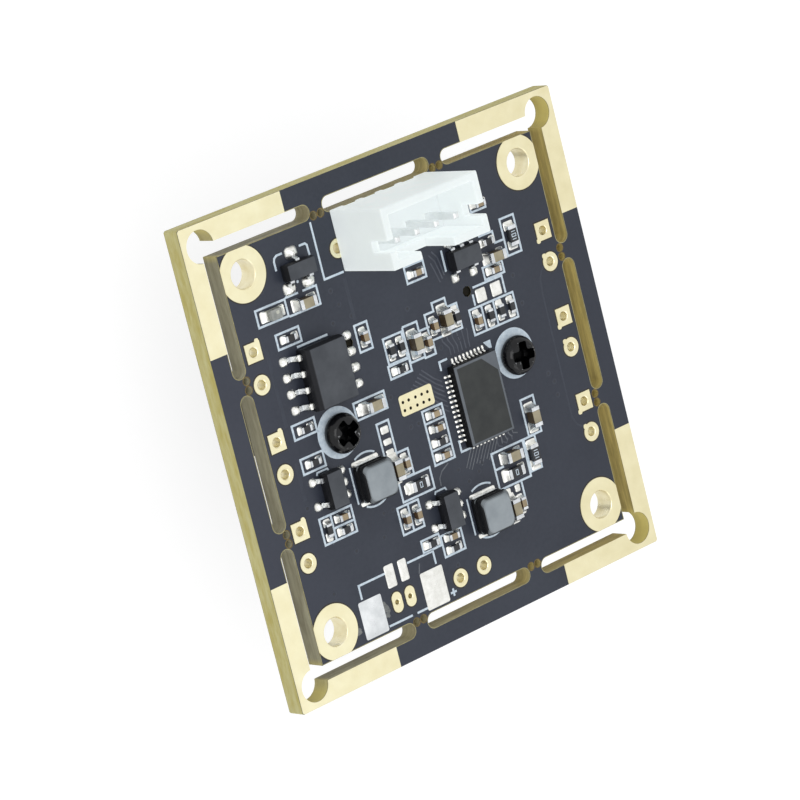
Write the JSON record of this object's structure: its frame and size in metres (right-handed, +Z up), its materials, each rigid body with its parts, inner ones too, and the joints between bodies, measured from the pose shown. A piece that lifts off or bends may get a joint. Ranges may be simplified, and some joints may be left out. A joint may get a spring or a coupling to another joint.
{
  "type": "camera module",
  "caption": "Small square camera board with slotted break-away frame, cable header and chips on the back, and a round lens on the front.",
  "frame": {"origin": "plane of the lens's front rim, under the middle of the board", "axes": "+Z up out of the back of the board, against the way the camera looks; +Y towards the edge with the cable header; +X towards the controller chip's side"},
  "size_m": [0.038, 0.038, 0.0222],
  "materials": {
    "board_mask": "satin solder mask over glass laminate",
    "header_plastic": "slightly translucent nylon",
    "pin_metal": "tinned",
    "chip_black": "moulded epoxy",
    "solder": "bright solder and tinned leads",
    "ceramic_tan": "unglazed",
    "resistor_black": "dark top coat on white ceramic",
    "ferrite": "ground ferrite",
    "lamp_clear": "clear resin",
    "lamp_base": "white laminate",
    "screw_black": "black plated",
    "holder_black": "moulded",
    "lens_black": "black anodised",
    "lens_glass": "coated",
    "filter_glass": "coated",
    "sensor_ceramic": "dark ceramic",
    "crystal_can": "seam-welded can"
  },
  "bodies": {
    "root": {"circuit_board": "board_mask", "header_housing": "header_plastic", "header_pins": "pin_metal", "controller_body": "chip_black", "controller_joints": "solder", "memory_body": "chip_black", "memory_leads": "solder", "transistor_body": "chip_black", "transistor_leads": "solder", "regulator_bodies": "chip_black", "regulator_leads": "solder", "coil_cores": "ferrite", "coil_terminals": "solder", "large_capacitors": "ceramic_tan", "large_capacitor_ends": "solder", "large_resistors": "resistor_black", "large_resistor_ends": "solder", "small_capacitors": "ceramic_tan", "small_capacitor_ends": "solder", "small_resistors": "resistor_black", "small_resistor_ends": "solder", "lamp_lens": "lamp_clear", "lamp_carrier": "lamp_base", "holder_screws": "screw_black", "lens_holder": "holder_black", "lens_barrel": "lens_black", "lock_ring": "lens_black", "front_retainer": "lens_black", "front_glass": "lens_glass", "infrared_filter": "filter_glass", "sensor_package": "sensor_ceramic", "sensor_glass": "lens_glass", "crystal": "crystal_can"}
  },
  "joints": []
}
